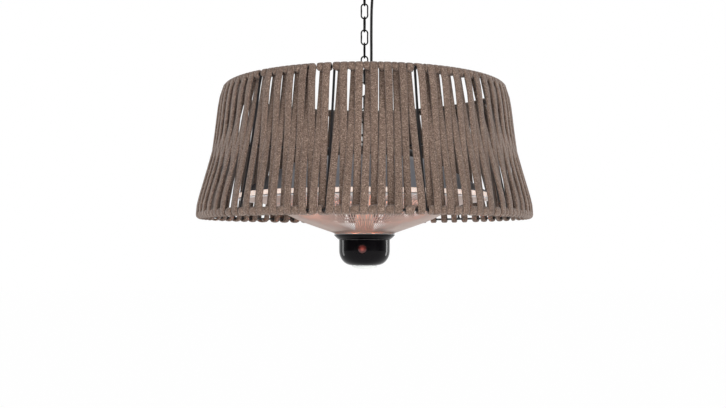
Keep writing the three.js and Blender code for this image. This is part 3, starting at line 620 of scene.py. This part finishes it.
low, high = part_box("cable_tie")
mid = (low + high) / 2
half_x = (high.x - low.x) / 2 - STRAP_THICKNESS / 2000
half_y = (high.y - low.y) / 2 - STRAP_THICKNESS / 2000
strap = []
for cx, cy, start in ((1, 1, 0), (-1, 1, 90), (-1, -1, 180), (1, -1, 270)):
    for step in range(6):
        turn = math.radians(start + 90 * step / 5)
        strap.append(Vector((mid.x + cx * (half_x - STRAP_CORNER) + STRAP_CORNER * math.cos(turn),
                             mid.y + cy * (half_y - STRAP_CORNER) + STRAP_CORNER * math.sin(turn), mid.z)))
tie_skin = Skin()
tie_skin.even(strap, UP, flat_section(STRAP_WIDTH, STRAP_THICKNESS, 0.05), closed=True)
tie = put(tie_skin.make("lead_tie", cover_black), "chain", "black_plastic", "cable_tie")

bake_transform(lead)

# Gland: a ribbed, tapered strain relief on a flange

GLAND_RIBS, GLAND_RIB_PITCH = 5, 3.0

gland = [(0, 124.6), (8.5, 124.6), (8.5, 127.6), (8.1, 128.2), (7.2, 128.6), (6.6, 128.6)]
for rib in range(GLAND_RIBS):
    base = 129.2 + rib * GLAND_RIB_PITCH
    size = 6.3 - 2.3 * rib / GLAND_RIBS
    gland += [(size - 0.8, base), (size, base + 0.4), (size, base + 1.6), (size - 0.8, base + 2.2)]
gland += [(3.7, 144.2), (3.3, 144.9), (2.6, 145.1), (0, 145.1)]
put(lathe("gland_relief", gland, cable_rubber, 48, GLAND_X), "heater", "rubber", "cable_gland")

# Chain links, hook and eye

LINKS = 13
LINK_WIRE = 2.6
LINK_PITCH = 23.7
LINK_SIDE, LINK_REACH = 5.9, 7.4  # half the width of the wire's middle line, and the leg's half length
FIRST_LINK = 448.6
EDGE_TWIST, FACE_TWIST = (7, 11), (3, 7)
LEG_SHARES = (0.25, 0.5, 0.75)
PINCH = 0.25
WELD = {13: 1.05, 14: 1.16, 15: 1.05}  # growth of the wire at these points of the path


def link_path(height, turn):
    """Straight legs and round ends, with the middle of the legs drawn in a little."""
    points = []
    for start, lift, sign in ((0, LINK_REACH, -1), (180, -LINK_REACH, 1)):
        points += arc_profile((0, lift), (LINK_SIDE, LINK_SIDE), start, start + 180, 12)
        for share in LEG_SHARES:
            pinch = PINCH * math.sin(math.pi * share)
            points.append((sign * (LINK_SIDE - pinch), lift * (1 - 2 * share)))
    cos, sin = math.cos(math.radians(turn)), math.sin(math.radians(turn))
    return [spot(x * cos, x * sin, height + z) for x, z in points], Vector((-sin, cos, 0))


random.seed(5)
for number in range(LINKS):
    at_end = number in (0, LINKS - 1)
    turn = 90 if number % 2 == 0 else 0
    twist = random.uniform(*(EDGE_TWIST if turn else FACE_TWIST)) * (1 if number % 4 < 2 else -1)
    path, normal = link_path(FIRST_LINK - number * LINK_PITCH, turn if at_end else turn + twist)
    skin = Skin()
    skin.stepped(path, normal, [LINK_WIRE * WELD.get(k, 1) for k in range(len(path))], 12, closed=True)
    body = "top_link" if number == 0 else "bottom_link" if at_end else "chain"
    name = f"{number + 1:02d}"
    put(skin.make(f"link_{name}", chain_steel), body, "black_steel", f"chain_link_{name}")

HOOK_WIRE, HOOK_END = 4.5, 3.4
HOOK_TOP, HOOK_TOP_Z = 16.25, 509.3
HOOK_FOOT, HOOK_FOOT_Z = 11.25, 469.3
HOOK_PULL = 20  # length of the handles of the curve between the two bows

hook_path = upright_arc(HOOK_FOOT, HOOK_FOOT_Z, 20, -180, 24)
hook_knots = ((-HOOK_FOOT, HOOK_FOOT_Z), (-HOOK_FOOT, HOOK_FOOT_Z + HOOK_PULL),
              (HOOK_TOP, HOOK_TOP_Z - HOOK_PULL), (HOOK_TOP, HOOK_TOP_Z))
for step in range(1, 16):
    t = step / 16
    weights = ((1 - t) ** 3, 3 * t * (1 - t) ** 2, 3 * t * t * (1 - t), t ** 3)
    x, height = (sum(w * knot[axis] for w, knot in zip(weights, hook_knots)) for axis in (0, 1))
    hook_path.append(spot(x, 0, height))
hook_path += upright_arc(HOOK_TOP, HOOK_TOP_Z, 0, 200, 30)
hook_skin = Skin()
hook_skin.stepped(hook_path, BACK, [HOOK_END] + [HOOK_WIRE] * (len(hook_path) - 2) + [HOOK_END], 16)
put(smooth_by_angle(hook_skin.make("s_hook_wire", zinc), 60), "hook", "zinc", "s_hook")

EYE_WIRE = 4.0
EYE_RADIUS, EYE_Z = 8, 146.5
THREADS, THREAD_PITCH = 37, 1.25

eye_skin = Skin()
eye_skin.even(upright_arc(EYE_RADIUS, EYE_Z, 0, 360, 48)[:-1], BACK, round_section(EYE_WIRE, 14), closed=True)
put(eye_skin.make("eye_ring", black_steel), "heater", "black_steel", "eye_bolt")
shank = [(0, 140), (2.6, 140), (3.1, 139.2), (4.0, 137.6)]
for thread in range(THREADS):
    level = 136.4 - THREAD_PITCH * thread
    shank += [(4.0, level), (3.45, level - 0.62)]
shank += [(3.0, 90.6), (0, 90.6)]
put(lathe("eye_shank", shank, zinc, 32), "heater", "black_steel")

# Shade frame: two hoops, twelve rods with weld beads, and the stops on the spider's arms

TOP_R, TOP_Z, BOTTOM_R, BOTTOM_Z = 247.05, 228.05, 293.05, 6.95
ROD_COUNT, FIRST_ROD, ROD_STEP = 12, -41.8, 30
ROD_LEAN = {0: (-0.6, 0), 1: (1.0, 0.4)}  # degrees at the top and at the bottom, as the photo shows
ROD_PARTS = 14
FRAME_WIRE = 4.0
HOLLOW = 0.075  # how far the wall curves in, as a share of the hoops' difference


def wall_radius(height):
    fall = (TOP_Z - height) / (TOP_Z - BOTTOM_Z)
    return TOP_R + (BOTTOM_R - TOP_R) * (fall - HOLLOW * math.sin(math.pi * fall))


frame_skin = Skin()
frame_skin.hoop(TOP_R, TOP_Z, FRAME_WIRE, 144)
frame_skin.hoop(BOTTOM_R, BOTTOM_Z, FRAME_WIRE, 144)
for index in range(ROD_COUNT):
    angle = FIRST_ROD + index * ROD_STEP
    lean_top, lean_bottom = ROD_LEAN.get(index, (0, 0))
    path = []
    for k in range(ROD_PARTS + 1):
        height = TOP_Z + (BOTTOM_Z - TOP_Z) * k / ROD_PARTS
        lean = lean_top + (lean_bottom - lean_top) * k / ROD_PARTS
        path.append(around(wall_radius(height), angle + lean, height))
    frame_skin.even(path, tangent(angle), round_section(FRAME_WIRE, 12))
    for height, lean in ((TOP_Z - 2.4, lean_top), (BOTTOM_Z + 2.4, lean_bottom)):
        levels = [height + lift for lift in (-1.8, -0.8, 0.8, 1.8)]
        weld = [around(wall_radius(level), angle + lean, level) for level in levels]
        frame_skin.stepped(weld, tangent(angle), (3.6, 5.4, 5.4, 3.6), 12)
for arm in range(3):
    angle = FIRST_ROD + ROD_STEP * (3 + 4 * arm)
    path = [around(wall_radius(level), angle, level) for level in (127.9, 128.4, 131.4, 131.9)]
    frame_skin.stepped(path, tangent(angle), (7.2, 8, 8, 7.2), 20)
shade_frame = smooth_by_angle(frame_skin.make("shade_frame_wire", black_steel), 50)
put(shade_frame, "heater", "black_steel", "shade_frame")

# Rope: each bay is one flat rope. Strands run from outside the top hoop to inside the bottom hoop and
# back from its outside to inside the top hoop. Between two strands that lie outside a hoop, and where
# there is room, the rope takes a whole turn round it, as a knob that fills the hoop there

REACH = 5.2  # from a hoop's middle to the rope's
SPAN_STEPS = 14
TURN_STEP = 30
SHOULDER, BULGE = 0.12, 3.0
WAIST = 1.1  # how much narrower a strand is at mid-height
ROD_ROOM = 0.5  # degrees between a rod and the knob beside it
LEAST_KNOB = 5  # a narrower gap gets no knob
TINT_RUN = 14  # points of the rope that share one tint
FAR_BAYS = range(4, 11)  # these have no knobs at the bottom hoop

# Radius, height, the way that the rope goes round, and the widest knob; True is the top hoop
HOOPS = {True: (TOP_R, TOP_Z, 1, 11.3), False: (BOTTOM_R, BOTTOM_Z, -1, 14.0)}

# Degrees round a hoop, counted from its inside: where a knob moves to its place and widens, where it
# moves on and narrows again, and where a turn ends without a knob, with one, and at the rope's end
ASIDE, ONWARD = (0, 100), (215, 330)
WIDEN, NARROW = (0, 90), (230, 340)
HALF_TURN, KNOB_TURN, END_TURN = 180, 540, 285

# A bay away from the front: the number of its strands, and their angles in degrees
STRANDS = 12
FIRST_STRAND, SPREAD = 1.9, 26.2
SLANT, FAR_SLANT = 0.8, 1.6
LAST_SLANT, FAR_LAST_SLANT = -0.7, -0.2

# Where the strands of the front bays cross the top and the bottom hoop, in degrees from the front, as
# the photo shows. The first word says whether the first strand starts outside the top hoop
FRONT_BAYS = {
    0: (False, ((-40.8, -37.75), (-36.6, -35.2), (-35.4, -32.65), (-31.7, -30.2), (-30.5, -27.65),
                (-26.9, -25.3), (-25.2, -22.95), (-21.9, -21.0), (-20.9, -18.2), (-18.5, -16.3),
                (-15.2, -14.9), (-13.3, -12.9))),
    1: (False, ((-8.3, -10.0), (-7.3, -6.4), (-3.6, -5.5), (-1.9, -2.5), (1.7, -0.3), (3.2, 2.9),
                (6.6, 4.6), (8.1, 8.0), (11.6, 9.6), (13.2, 13.0), (15.8, 16.5))),
    2: (True, ((19.9, 20.2), (22.7, 21.4), (24.0, 24.0), (27.2, 25.7), (29.0, 28.9), (32.3, 31.2),
               (34.3, 34.4), (37.6, 36.6), (39.8, 39.5), (42.6, 41.4), (44.9, 44.5), (46.4, 47.4))),
}


def bay_strands(bay):
    """Whether a bay's first strand starts outside the top hoop, and each strand's two angles."""
    if bay in FRONT_BAYS:
        return FRONT_BAYS[bay]
    far = bay in FAR_BAYS
    pick = random.Random(40 + bay)
    strands = []
    for strand in range(STRANDS):
        middle = FIRST_ROD + ROD_STEP * bay + FIRST_STRAND + SPREAD * strand / (STRANDS - 1)
        slant = pick.uniform(-0.3, 0.3) + (0 if strand % 2 == 0 else FAR_SLANT if far else SLANT)
        if strand == STRANDS - 1:
            slant = FAR_LAST_SLANT if far else LAST_SLANT
        strands.append((middle + slant, middle - slant))
    return True, tuple(strands)


def rope_bay(bay):
    outside_first, strands = bay_strands(bay)
    pick = random.Random(900 + bay)
    points, sides, widths = [], [], []

    def place(radius, angle, height, width):
        points.append(around(radius, angle, height))
        sides.append(tangent(angle))
        widths.append(width)

    def outside_top(strand):
        return (strand % 2 == 0) == outside_first

    def wrap(following, at_top):
        """Round a hoop, from inside it to where the following strand leaves outside it."""
        radius, level, rise_way, widest = HOOPS[at_top]
        column = 0 if at_top else 1
        edge = math.degrees(ROPE_WIDTH / 2 / (radius + REACH + ROPE_THICKNESS / 2))
        rod = FIRST_ROD + ROD_STEP * bay
        low = strands[following - 2][column] + edge if following > 1 else rod + ROD_ROOM
        last = following >= len(strands)
        high = rod + ROD_STEP - ROD_ROOM if last else strands[following][column] - edge
        knob = min(math.radians(high - low) * (radius + REACH), widest)
        middle = (low + high) / 2
        coming = strands[following - 1][column] if following else middle
        going = middle if last else strands[following][column]
        whole = knob > LEAST_KNOB and (at_top or bay not in FAR_BAYS)
        if last and not whole:
            return
        start = TURN_STEP if following else 2 * TURN_STEP
        end = END_TURN if last else KNOB_TURN if whole else HALF_TURN
        for turn in range(start, end, TURN_STEP):
            if whole:
                angle = coming + (middle - coming) * smooth_step(turn, *ASIDE)
                angle += (going - middle) * smooth_step(turn, *ONWARD)
                width = ROPE_WIDTH + (knob - ROPE_WIDTH) * smooth_step(turn, *WIDEN)
                width += (ROPE_WIDTH - knob) * smooth_step(turn, *NARROW)
            else:
                angle = coming + (going - coming) * smooth_step(turn, 0, HALF_TURN)
                width = ROPE_WIDTH
            round_hoop = math.radians(turn)
            place(radius - REACH * math.cos(round_hoop), angle,
                  level + rise_way * REACH * math.sin(round_hoop), width)

    def span(strand):
        top, bottom = strands[strand]
        outside = 1 if outside_top(strand) else -1
        order = range(SPAN_STEPS + 1) if outside > 0 else range(SPAN_STEPS, -1, -1)
        for k in order:
            share = k / SPAN_STEPS
            gone = (share if outside > 0 else 1 - share) / SHOULDER
            radius = TOP_R + outside * REACH + (BOTTOM_R - TOP_R - 2 * outside * REACH) * share
            place(radius + BULGE * gone * math.exp(1 - gone), top + (bottom - top) * share,
                  TOP_Z + (BOTTOM_Z - TOP_Z) * share, ROPE_WIDTH - WAIST * math.sin(math.pi * share))

    for strand in range(len(strands)):
        wrap(strand, outside_top(strand))
        span(strand)
    wrap(len(strands), outside_top(len(strands)))
    sections = [flat_section(w, ROPE_THICKNESS) for w in widths]
    skin = Skin()
    skin.sweep(points, sides, sections)
    made = skin.make(f"rope_{bay + 1:02d}", rope_look)
    tints = []
    for i, section in enumerate(sections):
        if i % TINT_RUN == 0:
            tint = pick.uniform(0.2, 0.8)
        tints += [tint] * len(section)
    made.data.attributes.new("tint", "FLOAT", "POINT").data.foreach_set("value", tints)
    put(made, "heater", "rope", f"rope_bay_{bay + 1:02d}")


for bay in range(ROD_COUNT):
    rope_bay(bay)

# Reflector, cover and lamps

BORE = 4.6  # radius of the hole for the eye bolt
SHEET_IN, SHEET_DOWN = 1.2, 1.4  # from the dome's outside to its inside

rolled = arc_profile((224.6, 35.4), (1.4, 1.4), -180, 0, 6)
wall = [(226, 36.4), (226, 44.6), (225.6, 45.6)]
dome = profile_through([(224.5, 46), (204, 58.6), (168, 80.6), (119.8, 104), (92, 108.6)], 26)[1:]
dome += [(88, 109), (BORE, 109)]
inside = [(r - SHEET_IN, z - SHEET_DOWN) for r, z in dome[:-1]] + [(BORE, 107.5)]
shell_profile = [(223.2, 44.2)] + rolled + wall + dome + inside[::-1]
put(lathe("reflector_shell", shell_profile, aluminium, 160), "heater", "aluminium", "reflector")
# The band round the reflector's rim glows with painted light
band_profile = [(225.7, 37.2), (226.4, 37.6), (226.4, 44.6), (225.7, 45.0)]
put(lathe("reflector_band", band_profile, band_painted_light, 160), "heater", "aluminium")

cover_profile = [(BORE, 124.3), (84.5, 124.3), (87.6, 123.7), (89.8, 122.2), (90.8, 119.6), (91, 118),
                 (91, 109.9), (90.6, 109.3), (89.2, 109.3), (89.2, 118), (86, 121.8), (15, 122.3),
                 (15, 109.5), (BORE, 109.5)]
put(lathe("cover_shell", cover_profile, cover_black), "heater", "black_plastic", "top_cover")

LAMPS = 3
LAMP_OUT, LAMP_Z = 52, 65
FILAMENT_TURNS, FILAMENT_STEPS = 30, 480
FILAMENT_HALF, FILAMENT_RADIUS, FILAMENT_WIRE = 49, 2.2, 0.9


def halogen_lamp(number):
    """A quartz tube between two ceramic caps, with a wound filament inside."""
    along = tangent(360 / LAMPS * (number - 1))
    outward = along.cross(UP)
    centre = spot(0, 0, LAMP_Z) + outward * (LAMP_OUT / 1000)

    def sweep(skin, *stations):
        """A round sweep through (place along the lamp, diameter) pairs."""
        skin.stepped([centre + along * (s / 1000) for s, _ in stations], UP, [d for _, d in stations], 24)

    tube = Skin()
    sweep(tube, (-56, 9.4), (-50, 10), (-1, 10), (1, 10), (50, 10), (56, 9.4))
    put(tube.make(f"lamp_{number}_quartz", quartz_glass), "heater", "quartz", f"halogen_tube_{number}")
    caps = Skin()
    for end in (-1, 1):
        sweep(caps, (end * 66, 13.6), (end * 65.2, 15), (end * 51, 15), (end * 50.2, 13.8))
    put(smooth_by_angle(caps.make(f"lamp_{number}_caps", ceramic)), "heater", "quartz")
    winding = []
    for k in range(FILAMENT_STEPS + 1):
        gone = k / FILAMENT_STEPS
        spin = TAU * FILAMENT_TURNS * gone
        off_axis = (UP * math.cos(spin) + outward * math.sin(spin)) * FILAMENT_RADIUS
        winding.append(centre + (along * FILAMENT_HALF * (2 * gone - 1) + off_axis) / 1000)
    coil = Skin()
    coil.even(winding, along, round_section(FILAMENT_WIRE, 5))
    put(coil.make(f"lamp_{number}_filament", filament_glow), "heater", "quartz")


for number in range(1, LAMPS + 1):
    halogen_lamp(number)

# Guard: fine radial wires on five hoops

GUARD_WIRES = 168
WIRE_DIAMETER = 1.8
GUARD_HOOPS = {0: 4.0, 5: 1.5, 10: 1.5, 15: 1.5, 20: 2.4}  # wire of the hoop at these points of the line
HOOP_LIFT = 1.1  # the inner hoops lie on the radial wires

guard_line = profile_through([(221.3, 36), (176.1, 27.6), (134.6, 6.7), (108.7, -4.8), (54, -24)], 20)
guard_skin = Skin()
for wire in range(GUARD_WIRES):
    angle = 360 * wire / GUARD_WIRES
    guard_skin.even([around(radius, angle, height) for radius, height in guard_line], tangent(angle),
                    round_section(WIRE_DIAMETER, 5))
for place, wire in GUARD_HOOPS.items():
    radius, height = guard_line[place]
    guard_skin.hoop(radius, height + HOOP_LIFT if place else height, wire, GUARD_WIRES)
put(guard_skin.make("guard_wires", lamplit_guard_steel), "heater", "chrome", "wire_guard")

ring_profile = [(13, -25.2), (52.5, -25.2), (54.6, -25.5), (55.7, -26.0), (56, -26.3), (55.7, -26.7),
                (54.6, -27.0), (52.5, -27.2), (13, -27.2)]
put(lathe("hub_ring", ring_profile, chrome), "heater", "chrome", "guard_hub_ring")

# Control housing with its window and the pale foot under it

collar_profile = [(43, -27.5), (54.2, -27.5), (55, -27.9), (55, -28.6), (52.4, -31.4), (48.4, -35.0),
                  (46.6, -36.2), (45.6, -36.5), (43, -36.5)]
put(lathe("collar", collar_profile, collar_black), "heater", "black_plastic", "housing_collar")
# A thin light-grey ring under the collar's edge
seam_profile = [(44, -36.45), (45.9, -36.45), (46.15, -36.65), (45.9, -36.85), (44, -36.85)]
put(lathe("collar_pale_ring", seam_profile, pale_ring_grey), "heater", "black_plastic")
housing_profile = [(45.4, -36.8), (46, -37.3)] + arc_profile((23, -56.1), (23, 26.7), 0, -90, 18)
housing_profile += [(22.7, -82.5), (22.7, -80.4), (38, -66), (43, -56), (43, -36.8)]
put(lathe("housing", housing_profile, gloss_black), "heater", "black_plastic", "housing_shell")


def window_lathe(name, profile, material):
    """Profile pairs are radius and distance towards the front."""
    def place(radius, turn, out):
        return spot(LENS_X + radius * math.cos(turn), -out, LENS_HEIGHT + radius * math.sin(turn))
    return turned(name, profile, material, 64, place)


bezel_profile = [(9.2, 40), (10.0, 44.6), (9.8, 46.3), (9.3, 46.8), (8.7, 46.6), (8.5, 45.6), (8.5, 40)]
put(window_lathe("window_bezel", bezel_profile, gloss_black), "heater", "black_plastic")
lens_profile = [(0, 42), (8.5, 42), (8.5, 45.6), (7.8, 46.6), (6.0, 47.4), (3.5, 47.9), (0, 48.1)]
put(window_lathe("window_lens", lens_profile, red_glass), "heater", "red_lens", "receiver_window")

light_profile = [(0, -77.9), (20.3, -77.9), (20.3, -83.1), (22.7, -83.1), (22.4, -84.6), (21.3, -86.3),
                 (18.5, -87.8), (13.5, -88.7), (7, -89.05), (0, -89.1)]
put(lathe("bottom_light", light_profile, opal_glass, 96), "heater", "opal", "bottom_diffuser")

# CAD pieces that stay, with their finishes

EDGE_BEVEL = 0.0004

for node, look in (("upper_nut", zinc), ("lower_nut", zinc), ("shade_spider", black_steel),
                   ("lamp_carrier", lamplit_aluminium), ("centre_column", lamplit_aluminium),
                   ("control_board", board_green)):
    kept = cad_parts[node]
    kept.data.materials.clear()
    kept.data.materials.append(look)
    if node != "control_board":
        edge = kept.modifiers.new("edge", "BEVEL")
        edge.width = EDGE_BEVEL
        edge.segments = 2
        edge.limit_method = "ANGLE"

# Floor, world and lights

FLOOR = -2.3
FLOOR_HALF = 30
FLOOR_WHITE = 0.99
ROOM_DARK = 0.08
WORLD_SOFT = 0.42
AIM = Vector((0, 0, up(90)))

stage_paint = Paint("studio_white")
rays = stage_paint.node("ShaderNodeLightPath").outputs
seen = stage_paint.maths("MAXIMUM", rays["Is Glossy Ray"], rays["Is Transmission Ray"])
seen = stage_paint.maths("MAXIMUM", rays["Is Camera Ray"], seen)
stage_paint.set(Base_Color=(0.86, 0.86, 0.86, 1), Roughness=0.9)
glow = stage_paint.node("ShaderNodeEmission", Color=(1, 1, 1, 1), Strength=1.0)
both = stage_paint.node("ShaderNodeMixShader")
stage_paint.give(both.inputs[0], stage_paint.maths("MULTIPLY", seen, FLOOR_WHITE))
stage_paint.give(both.inputs[1], stage_paint.shader.outputs[0])
stage_paint.give(both.inputs[2], glow.outputs[0])
stage_paint.give(stage_paint.out.inputs["Surface"], both.outputs[0])

corners = [(x * FLOOR_HALF, y * FLOOR_HALF, FLOOR) for x, y in ((-1, -1), (1, -1), (1, 1), (-1, 1))]
new_mesh("floor", corners, [(0, 1, 2, 3)], stage_paint.material, smooth=False)

world = bpy.data.worlds.new("studio")
bpy.context.scene.world = world
world.use_nodes = True
tree = world.node_tree


def world_node(kind, *inputs, **settings):
    made = tree.nodes.new(kind)
    for key, value in settings.items():
        setattr(made, key, value)
    for socket, value in zip(made.inputs, inputs):
        if isinstance(value, (int, float, tuple)):
            socket.default_value = value
        elif value is not None:
            tree.links.new(value, socket)
    return made.outputs


# White where the camera or glass sees it, plain for diffuse light, and for gloss a dark room in front
# with white behind and at the sides
rays = world_node("ShaderNodeLightPath")
seen = world_node("ShaderNodeMath", rays["Is Camera Ray"], rays["Is Transmission Ray"],
                  operation="MAXIMUM")[0]
sky = world_node("ShaderNodeSeparateXYZ", world_node("ShaderNodeTexCoord")["Generated"])
room = world_node("ShaderNodeMapRange", sky["Y"], -0.2, 0.5, ROOM_DARK, 1.0)[0]
level = world_node("ShaderNodeMix", rays["Is Glossy Ray"], None, WORLD_SOFT, room)[0]
level = world_node("ShaderNodeMix", seen, None, level, 1.0)[0]
white = world_node("ShaderNodeBackground", (1, 1, 1, 1), level)[0]
tree.links.new(white, tree.nodes["World Output"].inputs["Surface"])


def softbox(name, place, size, power, mirrored=False):
    data = bpy.data.lights.new(name, "AREA")
    data.shape = "RECTANGLE"
    data.size, data.size_y = size
    data.energy = power
    made = bpy.data.objects.new(name, data)
    made.location = place
    made.rotation_mode = "QUATERNION"
    made.rotation_quaternion = (AIM - made.location).to_track_quat("-Z", "Y")
    made.visible_glossy = mirrored
    bpy.context.scene.collection.objects.link(made)


softbox("key", (-1.3, -3.0, 0.8), (1.8, 1.8), 45)
softbox("fill", (1.6, -2.8, 0.1), (1.6, 1.8), 43)
softbox("left_strip", (-2.2, 0.95, -0.4), (0.5, 2.0), 17, mirrored=True)
softbox("right_strip", (2.2, 1.3, -0.4), (0.5, 2.0), 22, mirrored=True)
softbox("back_left", (-1.9, 2.5, 0.8), (1.6, 1.6), 34)
softbox("back_right", (1.9, 2.5, 0.8), (1.6, 1.6), 34)
softbox("under", (0.1, -1.3, -2.0), (1.8, 1.8), 18)
bpy.context.scene.view_settings.view_transform = "Standard"
